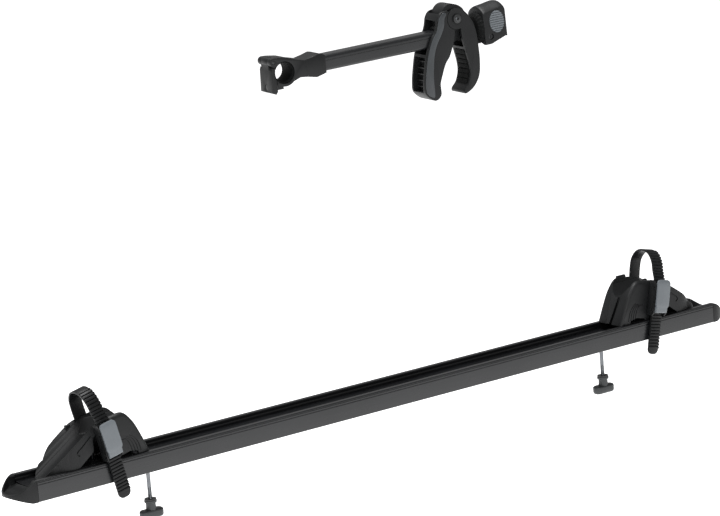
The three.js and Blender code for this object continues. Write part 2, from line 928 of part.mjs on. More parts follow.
// The stripe lies on the front plate and follows its outer edge over the arch.
function jawStripe() {
  const outline = smoothOutline([
    [260.6, 36],
    [255.6, 29.4],
    [252.8, 20],
    [249.2, 11],
    [242, 2],
    [232.4, -18],
    [226.4, -40],
    [222.4, -60],
    [223, -73],
    [229, -79.6],
    [235.6, -80],
    [236.6, -57],
    [238.4, -41],
    [242, -22],
    [248, -7],
    [258, 8],
    [263, 18],
    [265, 28],
    [268.6, 35],
    [266, 38],
  ]);
  const from = -JAW_DEPTH / 2 - 1.4;
  return sideways(outline, 1.2, 0, 3).translate(0, from + 0.6, 0);
}

function pivotBolt() {
  const washer = (from, to) => rod("y", 6.4, from, to, JAW_PIVOT, 20);
  return join(
    rod("y", 3.9, -21, 21, JAW_PIVOT, 24),
    washer(-22.6, -JAW_DEPTH / 2 - RUNNING),
    washer(JAW_DEPTH / 2 + RUNNING, 22.6),
  );
}

function spindle() {
  return join(
    rod("x", 5, TUBE_END + 4, KNOB_START + 20, [0, SPINDLE_Z]),
    rod("x", 6, TUBE_END + 3, TUBE_END + 12, [0, SPINDLE_Z]),
  );
}

function turned(profile) {
  return new THREE.LatheGeometry(
    profile.map(([x, r]) => new THREE.Vector2(r, x)),
    28,
  )
    .rotateZ(-Math.PI / 2)
    .translate(0, 0, SPINDLE_Z);
}

function knobCollar() {
  return cut(
    turned([
      [COLLAR_START, 0],
      [COLLAR_START, 18],
      [COLLAR_START + 3, 22.4],
      [KNOB_START - GAP, 24],
      [KNOB_START - GAP, 0],
    ]),
    rod("x", 5.3, 300, 400, [0, SPINDLE_Z]),
  );
}

function inlayShape(grow) {
  const shape = new THREE.Shape();
  shape.absellipse(350.5, 9.8, 12 + grow, 16.2 + grow, 0, 2 * Math.PI);
  return shape;
}

// A flared round knob, hollowed below, with a flat on its front and back that each hold an oval inlay.
function torqueKnob() {
  const body = overlap(
    turned([
      [KNOB_START, 0],
      [KNOB_START, 28],
      [331, 31],
      [345, 33],
      [359, 35],
      [364.4, 34],
      [KNOB_END, 31],
      [KNOB_END, 0],
    ]),
    block([300, 400], [-KNOB_FLAT, KNOB_FLAT], [-60, 60]),
  );
  const pockets = [-1, 1].map((sign) => sideways(inlayShape(GAP), 3).translate(0, sign * KNOB_FLAT, 0));
  const lockHole = rod("y", 4.4, -40, -14, LOCK);
  const hollowBelow = rod("x", 40, -50, 50, [0, 0], 40)
    .rotateY(-0.32)
    .translate(KNOB_START, 0, SPINDLE_Z - 63);
  const spindleHole = rod("x", 5.3, 300, KNOB_START + 20 + GAP, [0, SPINDLE_Z]);
  return cut(body, ...pockets, lockHole, spindleHole, hollowBelow);
}

function knobInlay(sign) {
  return sideways(inlayShape(0), 2.1).translate(0, sign * (KNOB_FLAT - 0.1), 0);
}

function lockCylinder() {
  return cut(
    rod("y", 4.1, -KNOB_FLAT + 2, -14.4, LOCK, 24),
    block([LOCK[0] - 0.5, LOCK[0] + 0.5], [-KNOB_FLAT, -KNOB_FLAT + 5], [LOCK[1] - 2.6, LOCK[1] + 2.6]),
  );
}

function addArm(parent) {
  const arm = new THREE.Group();
  arm.position.copy(ARM_PLACE);
  arm.rotation.set(0, -ARM_PITCH, ARM_YAW, "ZYX");
  place(arm, "arm_tube", armTube(), ANODISED);
  place(arm, "clamp_housing", clampHousing(), MOULDED);
  place(arm, "clamp_gate", clampGate(), MOULDED);
  place(arm, "gate_pin", rod("y", 2.3, -18.6, 18.6, GATE_PIN), STEEL);
  place(arm, "housing_liner", borePad(true), RUBBER);
  place(arm, "gate_liner", borePad(false), RUBBER);
  place(arm, "clamp_screw", clampScrew(), STEEL);
  place(arm, "jaw_head", jawHead(), MOULDED);
  const leftRoom = sideways(shapeOf(padBand(LEFT_EDGE, 1, -4.4, 30)), 29);
  const rightRoom = sideways(shapeOf(padBand(RIGHT_EDGE, -1, -4.4, 12)), 29);
  const bridge = block([240, 259], [-30, 30], [27, 60]);
  const solidFoot = block([180, 360], [-30, 30], [-40, -18.8]);
  place(arm, "left_jaw", jaw(LEFT_HORN, false, bridge, leftRoom, ribbedHollow()), MOULDED);
  place(arm, "right_jaw", jaw(RIGHT_HORN, true, solidFoot, rightRoom), MOULDED);
  place(arm, "left_jaw_pad", jawPad(LEFT_EDGE, 1), RUBBER);
  place(arm, "right_jaw_pad", jawPad(RIGHT_EDGE, -1), RUBBER);
  place(arm, "left_jaw_stripe", jawStripe(), GREY_MOULDED);
  place(arm, "pivot_bolt", pivotBolt(), STEEL);
  place(arm, "knob_spindle", spindle(), STEEL);
  place(arm, "knob_collar", knobCollar(), MOULDED);
  place(arm, "torque_knob", torqueKnob(), MOULDED);
  place(arm, "front_knob_inlay", knobInlay(-1), GREY_MOULDED);
  place(arm, "back_knob_inlay", knobInlay(1), GREY_MOULDED);
  place(arm, "lock_cylinder", lockCylinder(), STEEL);
  parent.add(arm);
}

const kit = new THREE.Group();
addRail(kit);
addBolt(kit, "left", BOLT_X[0]);
addBolt(kit, "right", BOLT_X[1]);
addCradle(kit, "left");
addCradle(kit, "right");
addArm(kit);

export default kit;
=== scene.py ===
"""Looks for the wheel rail and frame arm: each piece is modelled in millimetres where the CAD has it."""

import json
import math

import bmesh
import bpy
from mathutils import Matrix, Vector


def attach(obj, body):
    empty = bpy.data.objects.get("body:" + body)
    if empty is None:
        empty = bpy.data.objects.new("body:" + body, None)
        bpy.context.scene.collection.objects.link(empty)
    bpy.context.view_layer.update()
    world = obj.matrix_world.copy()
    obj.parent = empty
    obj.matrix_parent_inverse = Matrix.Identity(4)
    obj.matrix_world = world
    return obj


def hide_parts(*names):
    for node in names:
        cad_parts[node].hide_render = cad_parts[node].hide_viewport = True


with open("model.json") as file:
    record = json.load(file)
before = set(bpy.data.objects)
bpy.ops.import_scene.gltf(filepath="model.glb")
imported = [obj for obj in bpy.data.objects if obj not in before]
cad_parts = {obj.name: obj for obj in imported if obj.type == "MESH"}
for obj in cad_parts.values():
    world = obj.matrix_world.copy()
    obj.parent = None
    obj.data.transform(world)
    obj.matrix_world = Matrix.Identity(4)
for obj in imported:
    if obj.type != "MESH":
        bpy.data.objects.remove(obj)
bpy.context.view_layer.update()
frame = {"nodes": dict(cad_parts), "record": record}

# --- Driving dimensions, in millimetres ----------------------------------------------------------

RAIL_END = 616
RAIL_SIDE = 32
RAIL_TOP = 30
SLOT_MOUTH = 4.2
SLOT_SIDE = 9.2
SLOT_ROOF = 14.5
CAP_LENGTH = 34
CAP_WALL = 2.5
CAP_RIM_DROP = 17
BOLT_X = {"left": -421, "right": 411}
KNOB_TOP = -48
GRIP_BOTTOM = -74
CRADLE_INNER = 429.5
CRADLE_OUTER = 592
CRADLE_HALF = 28
VALLEY_FLOOR = 38
STRAP_HALF = 10
STRAP_CORE = 1.25
TOOTH_PITCH = 4.8
TOOTH_HEIGHT = 1.7
STRAP_EYE = (23, 41)
LEVER_PIN = (-40.5, 15)
TUBE_START = 48
TUBE_END = 262
JAW_PIVOT = (286, 25)
JAW_HALF = 19.5
JAW_PLATE = 4.7
JAW_HUB = 15.5
SPINDLE_Z = 2.5
KNOB_START = 328.6
KNOB_END = 366
KNOB_FLAT = 21.5
INLAY_CENTRE = (350.5, 9.8)
INLAY_SIZE = (12, 16.2)
LOCK = (339, -11)
HOLLOW_RADIUS = 40
HOLLOW_DROP = 63
HOLLOW_TILT = -0.32
ARM_PLACE = (-127.3, 24, 509)
ARM_YAW = math.radians(-8)
ARM_PITCH = math.radians(-2.6)
BUCKLE_X = 494
BUCKLE_LEAN = math.radians(12.5)

# --- The frames the pieces are drawn in ----------------------------------------------------------

MM = Matrix.Scale(0.001, 4)
RAIL_FRAME = MM
ARM_FRAME = (
    MM
    @ Matrix.Translation(ARM_PLACE)
    @ Matrix.Rotation(ARM_YAW, 4, "Z")
    @ Matrix.Rotation(ARM_PITCH, 4, "Y")
)
MIRROR_X = Matrix.Scale(-1, 4, (1, 0, 0))


def holder_frame(side):
    """Cradle drawings have their heights from the rail's top, and are drawn for the right end."""
    here = Matrix.Translation((0, 0, RAIL_TOP))
    return MM @ MIRROR_X @ here if side == "left" else MM @ here


# The strap and buckle are drawn upright and then lean outwards.
LEANING = Matrix.Translation((BUCKLE_X, 0, 0)) @ Matrix.Rotation(BUCKLE_LEAN, 4, "Y")

# --- Making and cutting shapes -------------------------------------------------------------------


def smooth(points, steps=6):
    """Points along a smooth curve through the given ones."""
    made = []
    for i in range(len(points) - 1):
        before = Vector(points[max(i - 1, 0)])
        start, end = Vector(points[i]), Vector(points[i + 1])
        after = Vector(points[min(i + 2, len(points) - 1)])
        for k in range(steps):
            t = k / steps
            pull_in, pull_out = (end - before) / 2, (after - start) / 2
            made.append(
                (2 * t**3 - 3 * t**2 + 1) * start
                + (t**3 - 2 * t**2 + t) * pull_in
                + (3 * t**2 - 2 * t**3) * end
                + (t**3 - t**2) * pull_out
            )
    return [tuple(p) for p in made] + [tuple(points[-1])]


def arc(centre, radii, start, end, steps=16):
    """Points along part of an ellipse, from one angle in degrees to another."""
    angles = [math.radians(start + (end - start) * i / steps) for i in range(steps + 1)]
    return [(centre[0] + radii[0] * math.cos(a), centre[1] + radii[1] * math.sin(a)) for a in angles]


def rounded_box(half_width, half_height, radius, steps=6):
    """A rectangle's outline with its corners rounded."""
    w, h = half_width - radius, half_height - radius
    corners = [((w, -h), -90), ((w, h), 0), ((-w, h), 90), ((-w, -h), 180)]
    return [p for centre, turn in corners for p in arc(centre, (radius, radius), turn, turn + 90, steps)]


def mirrored(points):
    """The other half of a symmetric outline, leaving out a point on the middle line."""
    return [(-y, z) for y, z in reversed(points) if abs(y) > 1e-6]


def settle(bm, distance=0.01):
    """Merges doubled points and turns every face outwards."""
    bmesh.ops.remove_doubles(bm, verts=bm.verts, dist=distance)
    bmesh.ops.recalc_face_normals(bm, faces=bm.faces)
    return bm


PLACE = {
    "x": lambda a, b, along: (along, a, b),
    "y": lambda a, b, along: (a, along, b),
    "z": lambda a, b, along: (a, b, along),
}


def slab(axis, outline, low, high):
    """An outline across an axis, extruded along it from low to high."""
    bm = bmesh.new()
    face = bm.faces.new([bm.verts.new(PLACE[axis](a, b, low)) for a, b in outline])
    pulled = bmesh.ops.extrude_face_region(bm, geom=[face], use_keep_orig=True)
    top = [v for v in pulled["geom"] if isinstance(v, bmesh.types.BMVert)]
    bmesh.ops.translate(bm, verts=top, vec=PLACE[axis](0, 0, high - low))
    return settle(bm)


def bar(x, y, z):
    """A block between two limits on each axis."""
    return slab("z", [(x[0], y[0]), (x[1], y[0]), (x[1], y[1]), (x[0], y[1])], z[0], z[1])


def rod(axis, radius, low, high, across=(0, 0), steps=32):
    """A round bar along an axis."""
    return slab(axis, arc(across, (radius, radius), 0, 360, steps)[:-1], low, high)


def turned(profile, steps=48):
    """A profile of (distance along X, radius), spun round the X axis."""
    bm = bmesh.new()
    points = [bm.verts.new((x, 0, r)) for x, r in profile]
    edges = [bm.edges.new(pair) for pair in zip(points, points[1:])]
    bmesh.ops.spin(
        bm,
        geom=points + edges,
        cent=(0, 0, 0),
        axis=(1, 0, 0),
        angle=math.tau,
        steps=steps,
        use_merge=True,
    )
    return settle(bm, 0.001)


def moved(bm, matrix):
    """The shape, put somewhere else."""
    bmesh.ops.transform(bm, matrix=matrix, verts=bm.verts)
    if matrix.determinant() < 0:
        bmesh.ops.reverse_faces(bm, faces=bm.faces)
    return bm


def rounded(bm, width, segments=2, angle=28, only=None, clamp=True):
    """Rounds the edges that are sharper than an angle in degrees, and that a test picks."""
    limit = math.radians(angle)
    edges = [
        e
        for e in bm.edges
        if len(e.link_faces) == 2 and e.calc_face_angle(0) > limit and (only is None or only(e))
    ]
    bmesh.ops.bevel(
        bm,
        geom=edges,
        offset=width,
        segments=segments,
        profile=0.5,
        affect="EDGES",
        material=-1,
        clamp_overlap=clamp,
    )
    return bm


def combined(bm, others, operation):
    """Cuts or joins solids one after another."""
    for other in others:
        pair = []
        for shape in (bm, other):
            mesh = bpy.data.meshes.new("working")
            shape.to_mesh(mesh)
            shape.free()
            pair.append(bpy.data.objects.new("working", mesh))
            bpy.context.scene.collection.objects.link(pair[-1])
        modifier = pair[0].modifiers.new("combine", "BOOLEAN")
        modifier.object = pair[1]
        modifier.operation = operation
        modifier.solver = "EXACT"
        bm = bmesh.new()
        bm.from_object(pair[0], bpy.context.evaluated_depsgraph_get())
        for piece in pair:
            mesh = piece.data
            bpy.data.objects.remove(piece)
            bpy.data.meshes.remove(mesh)
    bmesh.ops.remove_doubles(bm, verts=bm.verts, dist=0.01)
    bmesh.ops.dissolve_limit(bm, angle_limit=math.radians(0.3), verts=bm.verts, edges=bm.edges)
    return bm


def cut(bm, *tools):
    return combined(bm, tools, "DIFFERENCE")


def joined(bm, *others):
    return combined(bm, others, "UNION")


def overlap(bm, *others):
    return combined(bm, others, "INTERSECT")


def piece(name, bm, place, finish, *nodes, crease=30):
    """Turns a drawn shape into an object that stands for CAD nodes and moves with their body."""
    moved(bm, place)
    bmesh.ops.recalc_face_normals(bm, faces=bm.faces)
    mesh = bpy.data.meshes.new(name)
    bm.to_mesh(mesh)
    bm.free()
    made = bpy.data.objects.new(name, mesh)
    bpy.context.scene.collection.objects.link(made)
    mesh.shade_smooth()
    mesh.set_sharp_from_angle(angle=math.radians(crease))
    mesh.materials.append(finish)
    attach(made, body_of_node[nodes[0]])
    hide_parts(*nodes)
    return made


def from_cad(node):
    """A copy of a CAD node's mesh in millimetres, merged and with its flat faces whole."""
    bm = bmesh.new()
    bm.from_mesh(frame["nodes"][node].data)
    moved(bm, Matrix.Scale(1000, 4))
    bmesh.ops.remove_doubles(bm, verts=bm.verts, dist=0.02)
    bmesh.ops.dissolve_limit(bm, angle_limit=math.radians(0.5), verts=bm.verts, edges=bm.edges)
    return bm


body_of_node = {
    node: body for body, nodes in frame["record"]["behaviour"]["bodies"].items() for node in nodes
}

# --- Finishes ------------------------------------------------------------------------------------


def linear(hex_colour):
    """An sRGB hex colour as linear red, green, blue and alpha."""
    channels = [int(hex_colour[i : i + 2], 16) / 255 for i in (1, 3, 5)]
    return (*[c / 12.92 if c <= 0.04045 else ((c + 0.055) / 1.055) ** 2.4 for c in channels], 1)


def node(tree, kind, inputs=None, stops=(), **settings):
    """Adds one shader node, with its settings, a ramp's stops, and its inputs' values or links."""
    made = tree.nodes.new(kind)
    for key, value in settings.items():
        setattr(made, key, value)
    for index, (position, colour) in enumerate(stops):
        element = made.color_ramp.elements[min(index, 1)]
        element.position = position
        element.color = colour
    for key, value in (inputs or {}).items():
        if isinstance(value, bpy.types.NodeSocket):
            tree.links.new(value, made.inputs[key])
        else:
            made.inputs[key].default_value = value
    return made


def grey(value):
    return (value, value, value, 1)


def surface(name, shell):
    """An empty material with its output, and the place each pattern is read at."""
    material = bpy.data.materials.new(name)
    material.use_nodes = True
    tree = material.node_tree
    tree.nodes.clear()
    place = node(tree, "ShaderNodeTexCoord").outputs["Object"]
    shader = shell(tree, place)
    output = node(tree, "ShaderNodeOutputMaterial")
    tree.links.new(shader.outputs["BSDF"], output.inputs["Surface"])
    return material


def per_metre(size_mm):
    """The scale of a noise whose features are this many millimetres across."""
    return 1000 / size_mm


def anodised_aluminium(tree, place):
    """Black anodised aluminium extrusion: a dyed satin oxide with fine die lines along its length."""
    stretched = node(tree, "ShaderNodeMapping", {"Vector": place, "Scale": (0.02, 1, 1)})
    die_lines = node(
        tree,
        "ShaderNodeTexNoise",
        {"Vector": stretched.outputs["Vector"], "Scale": per_metre(1.2), "Detail": 3},
    )
    tint = node(tree, "ShaderNodeTexNoise", {"Vector": place, "Scale": per_metre(90), "Detail": 2})
    dye = [(0.3, linear("#121315")), (0.7, linear("#191a1c"))]
    colour = node(tree, "ShaderNodeValToRGB", {"Fac": tint.outputs["Fac"]}, dye)
    polish = [(0.3, grey(0.26)), (0.7, grey(0.36))]
    gloss = node(tree, "ShaderNodeValToRGB", {"Fac": die_lines.outputs["Fac"]}, polish)
    lines = node(
        tree,
        "ShaderNodeBump",
        {"Height": die_lines.outputs["Fac"], "Strength": 0.12, "Distance": 0.0002},
    )
    return node(
        tree,
        "ShaderNodeBsdfPrincipled",
        {
            "Base Color": colour.outputs["Color"],
            "Roughness": gloss.outputs["Color"],
            "Metallic": 0.25,
            "Specular IOR Level": 0.62,
            "Normal": lines.outputs["Normal"],
        },
    )


def moulding(dark, light, roughness, grain_mm, depth, shine=0.5):
    """Injection-moulded plastic: an even colour, a spark-eroded grain and slightly uneven gloss."""

    def shell(tree, place):
        grain = node(
            tree,
            "ShaderNodeTexNoise",
            {"Vector": place, "Scale": per_metre(grain_mm), "Detail": 4, "Roughness": 0.6},
        )
        cloud = node(
            tree, "ShaderNodeTexNoise", {"Vector": place, "Scale": per_metre(38), "Detail": 3}
        )
        tints = [(0.3, linear(dark)), (0.7, linear(light))]
        colour = node(tree, "ShaderNodeValToRGB", {"Fac": cloud.outputs["Fac"]}, tints)
        sheens = [(0.25, grey(roughness - 0.05)), (0.75, grey(roughness + 0.05))]
        gloss = node(tree, "ShaderNodeValToRGB", {"Fac": cloud.outputs["Fac"]}, sheens)
        bump = node(
            tree,
            "ShaderNodeBump",
            {"Height": grain.outputs["Fac"], "Strength": depth, "Distance": 0.0002},
        )
        return node(
            tree,
            "ShaderNodeBsdfPrincipled",
            {
                "Base Color": colour.outputs["Color"],
                "Roughness": gloss.outputs["Color"],
                "Specular IOR Level": shine,
                "Normal": bump.outputs["Normal"],
            },
        )

    return shell


def zinc_steel(tree, place):
    """Zinc-plated steel: a bright passivated coat with faint crystal patches."""
    patches = node(tree, "ShaderNodeTexVoronoi", {"Vector": place, "Scale": per_metre(1.6)})
    spots = node(tree, "ShaderNodeTexNoise", {"Vector": place, "Scale": per_metre(6), "Detail": 4})
    coat = [(0.0, linear("#5d6063")), (1.0, linear("#737578"))]
    colour = node(tree, "ShaderNodeValToRGB", {"Fac": patches.outputs["Distance"]}, coat)
    shine = [(0.3, grey(0.26)), (0.7, grey(0.42))]
    gloss = node(tree, "ShaderNodeValToRGB", {"Fac": spots.outputs["Fac"]}, shine)
    return node(
        tree,
        "ShaderNodeBsdfPrincipled",
        {
            "Base Color": colour.outputs["Color"],
            "Roughness": gloss.outputs["Color"],
            "Metallic": 1.0,
        },
    )


ANODISED = surface("black_anodised_aluminium", anodised_aluminium)
# Glass-filled nylon: nearly black, with a coarse matt grain.
NYLON = surface("black_glass_filled_nylon", moulding("#0f1011", "#151617", 0.48, 1.1, 0.3, 0.27))
# The straps are a softer, slightly shinier elastomer.
STRAP = surface("black_strap_elastomer", moulding("#0e0f10", "#131415", 0.42, 1.6, 0.2, 0.22))
# The levers and inlays are blue-grey ABS with a fine satin grain.
GREY_ABS = surface("blue_grey_abs", moulding("#5b6064", "#64696d", 0.42, 0.9, 0.15))
# The jaw's stripe is the levers' grey ABS moulding with painted shade: the same settings, with its colour
# darkened to stand for the shade the stripe lies in.
GREY_ABS_PAINTED_SHADE = surface("grey_abs_painted_shade", moulding("#282b2e", "#303437", 0.42, 0.9, 0.15))
# The liners and pads are matt rubber.
RUBBER = surface("black_moulded_rubber", moulding("#070808", "#0c0d0d", 0.8, 1.4, 0.4, 0.15))
# The wing grips are a greyer nylon than the cradles.
GRIP_NYLON = surface("dark_grey_nylon", moulding("#37393a", "#3e4041", 0.45, 1.1, 0.25, 0.3))
STEEL = surface("zinc_plated_steel", zinc_steel)
# The clamp screw, pivot and washers are steel under a black phosphate coat.
BLACK_STEEL = surface("black_phosphated_steel", moulding("#1b1c1d", "#242526", 0.4, 0.5, 0.1))

# --- The rail ------------------------------------------------------------------------------------


def rail_channel():
    def line_groove(z):
        deep = RAIL_SIDE - 0.6
        return [(RAIL_SIDE, z - 0.6), (deep, z - 0.1), (deep, z + 0.1), (RAIL_SIDE, z + 0.6)]

    half = [
        (SLOT_SIDE, SLOT_ROOF),
        (SLOT_SIDE, 2.5),
        (SLOT_MOUTH, 2.5),
        (SLOT_MOUTH, 0),
        *arc((RAIL_SIDE - 1.5, 1.5), (1.5, 1.5), -90, 0, 4),
        *line_groove(24.2),
        *line_groove(27.4),
        *arc((RAIL_SIDE - 1.4, RAIL_TOP - 1.4), (1.4, 1.4), 0, 90, 4),
        *arc((24.7, RAIL_TOP - 1.1), (1.1, 1.1), 90, 180, 4),
        (23.6, 27.2),
        (27.6, 26.6),
        *smooth([(28, 26), (27.9, 23), (25, 20.2), (18, 18.4), (9, 17.7), (0, 17.5)], 5),
    ]
    return slab("x", half + mirrored(half), -RAIL_END, RAIL_END)


def cap_pocket(half_width, low, high):
    """As wide as the trough at the rail, then an even wall round the nose."""
    radius = RAIL_SIDE - CAP_WALL
    nose = arc((CAP_LENGTH - RAIL_SIDE, 0), (radius, radius), -74, 74, 40)
    plan = [(-3, -half_width), (3, -half_width), *nose, (3, half_width), (-3, half_width)]
    return slab("z", plan, low, high)


def end_cap():
    nose = CAP_LENGTH - RAIL_SIDE
    plan = [(0.4, -RAIL_SIDE), *arc((nose, 0), (RAIL_SIDE, RAIL_SIDE), -90, 90, 36), (0.4, RAIL_SIDE)]
    rim = [
        (x, RAIL_TOP - CAP_RIM_DROP * (1 - math.cos(math.pi * x / CAP_LENGTH)) / 2)
        for x in [CAP_LENGTH * i / 20 for i in range(21)]
    ]
    past_nose = CAP_LENGTH + 3
    above_rim = [(-1, RAIL_TOP), *rim, (past_nose, RAIL_TOP - CAP_RIM_DROP), (past_nose, 50), (-1, 50)]
    underside = [(6, -1), *smooth([(9, 0), (20, 3.6), (36, 9.8)], 4), (36, -1)]
    body = cut(slab("z", plan, 0, RAIL_TOP), slab("y", above_rim, -40, 40), slab("y", underside, -40, 40))
    pocket = joined(cap_pocket(28, 3, 26.8), cap_pocket(23.6, 26, 50))
    scoop = [*smooth([(-4, 18), (6, 15.5), (14, 12), (22, 10.6), (36, 11.6)], 5), (36, 55), (-4, 55)]
    body = rounded(cut(body, overlap(pocket, slab("y", scoop, -40, 40))), 0.8, 3, angle=35)
    tongues = [bar((-15, 1.5), sorted((sign * 12.6, sign * 28.6)), (3.2, 14.6)) for sign in (-1, 1)]
    return joined(body, *tongues)


piece("rail_extrusion", rail_channel(), RAIL_FRAME, ANODISED, "rail_channel", crease=24)
TO_RIGHT_END = MM @ Matrix.Translation((RAIL_END, 0, 0))
TO_LEFT_END = MM @ Matrix.Translation((-RAIL_END, 0, 0)) @ Matrix.Rotation(math.pi, 4, "Z")
piece("right_nose_cap", end_cap(), TO_RIGHT_END, NYLON, "right_end_cap")
piece("left_nose_cap", end_cap(), TO_LEFT_END, NYLON, "left_end_cap")

# --- Clamp bolts and T knobs ---------------------------------------------------------------------

UPRIGHT = Matrix.Rotation(math.radians(-90), 4, "Y")


def clamp_bolt():
    """A square-headed bolt, its thread's 1 mm ridges hardly showing on the lower part of its shank."""
    shank = [(-70, 0), (-70, 2.0), (-69.4, 2.7)]
    for turn in range(-69, -30):
        shank += [(turn, 2.78), (turn + 0.5, 2.98)]
    shank += [(-30, 2.8), (-29, 2.95), (4, 2.95), (4, 0)]
    head = rounded(bar((-8, 8), (-8, 8), (2.75, 6.7)), 0.5)
    return joined(head, moved(turned(shank, 20), UPRIGHT))


def t_knob():
    """An oval grip with a softly rounded underside, a neck, and a flange under the washer."""
    grip = rounded(
        slab("z", rounded_box(18.5, 8.5, 8.3, 8), GRIP_BOTTOM, GRIP_BOTTOM + 12.5),
        6,
        6,
        only=lambda e: all(v.co.z < GRIP_BOTTOM + 1 for v in e.verts),
    )
    grip = rounded(grip, 3, 4, only=lambda e: all(v.co.z > GRIP_BOTTOM + 12 for v in e.verts))
    neck = turned(
        [
            (-66, 0),
            (-66, 7.4),
            (-61, 7.4),
            (-54, 7),
            (-52.4, 7.2),
            (-51.6, 8.6),
            (-51, 9),
            (-48.6, 9),
            (-48, 8.5),
            (-48, 0),
        ]
    )
    pocket = rod("z", 5.6, KNOB_TOP - 6, KNOB_TOP + 1, steps=6)
    hole = rod("z", 3.25, GRIP_BOTTOM - 2, KNOB_TOP + 1, steps=24)
    return cut(joined(grip, moved(neck, UPRIGHT)), pocket, hole)


for side, x in BOLT_X.items():
    here = MM @ Matrix.Translation((x, 0, 0))
    piece(f"{side}_bolt", clamp_bolt(), here, STEEL, f"{side}_clamp_bolt")
    piece(f"{side}_grip_knob", t_knob(), here, GRIP_NYLON, f"{side}_t_knob")
    washer = rounded(from_cad(f"{side}_knob_washer"), 0.25)
    piece(f"{side}_washer", washer, MM, BLACK_STEEL, f"{side}_knob_washer")
    piece(f"{side}_nut", rounded(from_cad(f"{side}_knob_nut"), 0.3), MM, STEEL, f"{side}_knob_nut")

# --- Wheel cradles -------------------------------------------------------------------------------

RAMP = [
    (444, 32),
    (454, 49),
    (468, 62),
    (488, 61),
    (520, 55),
    (534, 53),
    (556, 34),
    (577, 12),
    (590, 2),
]


def leaning(bm):
    return moved(bm, LEANING)


def sloping_trough(half, low, high, passes, climb):
    """A trough along X whose floor passes a place and climbs by so much per millimetre."""
    x, z = passes
    slope = Matrix(((1, 0, 0, 0), (0, 1, 0, 0), (climb, 0, 1, z - climb * x), (0, 0, 0, 1)))
    return moved(slab("x", half + mirrored(half), low, high), slope)


def stroke(points, width, low, high):
    """A groove cutter that follows a line drawn on the front face."""
    line = [Vector(p) for p in points]
    left, right = [], []
    for index, at in enumerate(line):
        ahead = (line[min(index + 1, len(line) - 1)] - line[max(index - 1, 0)]).normalized()
        aside = Vector((ahead.y, -ahead.x)) * width / 2
        left.append(tuple(at + aside))
        right.append(tuple(at - aside))
    return slab("y", left + right[::-1], low, high)


def wheel_cradle():
    ridge = smooth([(CRADLE_INNER, 0), *RAMP], 7)
    body = slab("y", [(425.5, -8), *ridge, (CRADLE_OUTER + 3, -8)], -CRADLE_HALF, CRADLE_HALF)
    body = rounded(
        body,
        6,
        5,
        angle=60,
        only=lambda e: abs(e.verts[0].co.y - e.verts[1].co.y) < 1 and max(v.co.z for v in e.verts) > -7,
        clamp=False,
    )
    bow = smooth([(545, -29), (561, -26.6), (574, -20.4), (586, -11), (593, 0)], 5)
    plan = [(400, -29), *bow, *[(x, -y) for x, y in reversed(bow)][1:], (400, 29)]
    bowl = smooth([(0, 0), (5, 0.8), (15, 6), (30, 15.6)], 8) + [(30, 70)]
    dish = sloping_trough(bowl, 490, 620, (522, VALLEY_FLOOR), -0.66)
    dish = overlap(dish, bar((480, 620), (-40, 40), (-6.6, 120)))
    tip = smooth([(566, -22.5), (580, -20.6), (592, -13), (600, 0)], 5)
    toe_plan = [(500, -22.5), *tip, *[(x, -y) for x, y in reversed(tip)][1:], (500, 22.5)]
    toe_side = [(560.6, -9.4), (560.6, 6), *smooth([(576, 10), (592, 2), (599, -5), (600, -9.4)], 4)]
    toe = overlap(slab("y", toe_side, -23, 23), slab("z", toe_plan, -20, 20))
    body = cut(joined(overlap(body, slab("z", plan, 0.4, 90)), toe), dish)
    tabs = [
        rounded(bar((472, 489), (22.6, 27.4), (50, 64.4)), 0.8),
        rounded(bar((524, 532), (22.6, 27.4), (38, 49.4)), 0.8),
    ]
    body = joined(body, *tabs)
    notch = sloping_trough([(0, -0.5), (2.5, 0), (21, 26), (21, 60)], 420, 462, (454, VALLEY_FLOOR), 1.75)
    flank = [(21.5, 90), (20.6, 59), (18, 54), (8, 41), (4, VALLEY_FLOOR), (0, VALLEY_FLOOR - 0.3)]
    v_side = smooth(flank, 4)
    valley = slab("x", v_side + mirrored(v_side), 400, 620)
    slit = slab("y", [(421.5, -4), (436.5, -4), (466, 60), (440, 60)], -2.5, 2.5)
    hollow = slab("y", [(444, -1), (456, 28), (464, 33), (520, 33), (566, 3), (572, -1)], -22, 22)
    arch = slab("y", [(506, -1), (548, -1), (533, 10), (521, 19), (521, 38), (514, 42), (510, 36)], -42, -18)
    relief = slab("y", [(448, -1), (480, -1), (478, 3.5), (463, 7), (451, 5)], -42, -18)
    hooked = smooth([(523.5, 42), (530, 36.5), (538, 30), (545, 25), (547.4, 21), (543.6, 17.6)], 4)
    hook_groove = stroke(hooked, 2, -30, -26.6)
    curves = [
        smooth([(446 + gap, 5), (449 + gap, 16), (455 + gap, 25), (463 + gap, 30 - gap / 3)], 3)
        for gap in (0, 4.5, 9, 13.5)
    ]
    grip_grooves = [stroke(curve, 1.3, -30, -27.2) for curve in curves]
    strap_slot = leaning(bar((-10.8, 10.8), (21, 25.6), (41, 90)))
    eye_room = leaning(rod("x", 3.6, -10.8, 10.8, STRAP_EYE))
    seat = rod("z", 6, VALLEY_FLOOR - 2.6, 60, (508, 0))
    screw_hole = rod("z", 3, 20, 60, (508, 0))
    grooves = [hook_groove, *grip_grooves]
    strap_rooms = [strap_slot, eye_room]
    return cut(body, notch, valley, slit, hollow, arch, relief, *grooves, *strap_rooms, seat, screw_hole)


for side in ("left", "right"):
    here = holder_frame(side)
    piece(
        f"{side}_cradle_shell",
        rounded(wheel_cradle(), 0.7, 2, angle=40),
        here,
        NYLON,
        f"{side}_wheel_cradle",
    )
    for part, finish in (("slide_shoe", NYLON), ("shoe_screw", STEEL)):
        cad_node = f"{side}_{part}"
        piece(f"{cad_node}_detail", rounded(from_cad(cad_node), 0.4), MM, finish, cad_node)

# --- Straps and buckles --------------------------------------------------------------------------

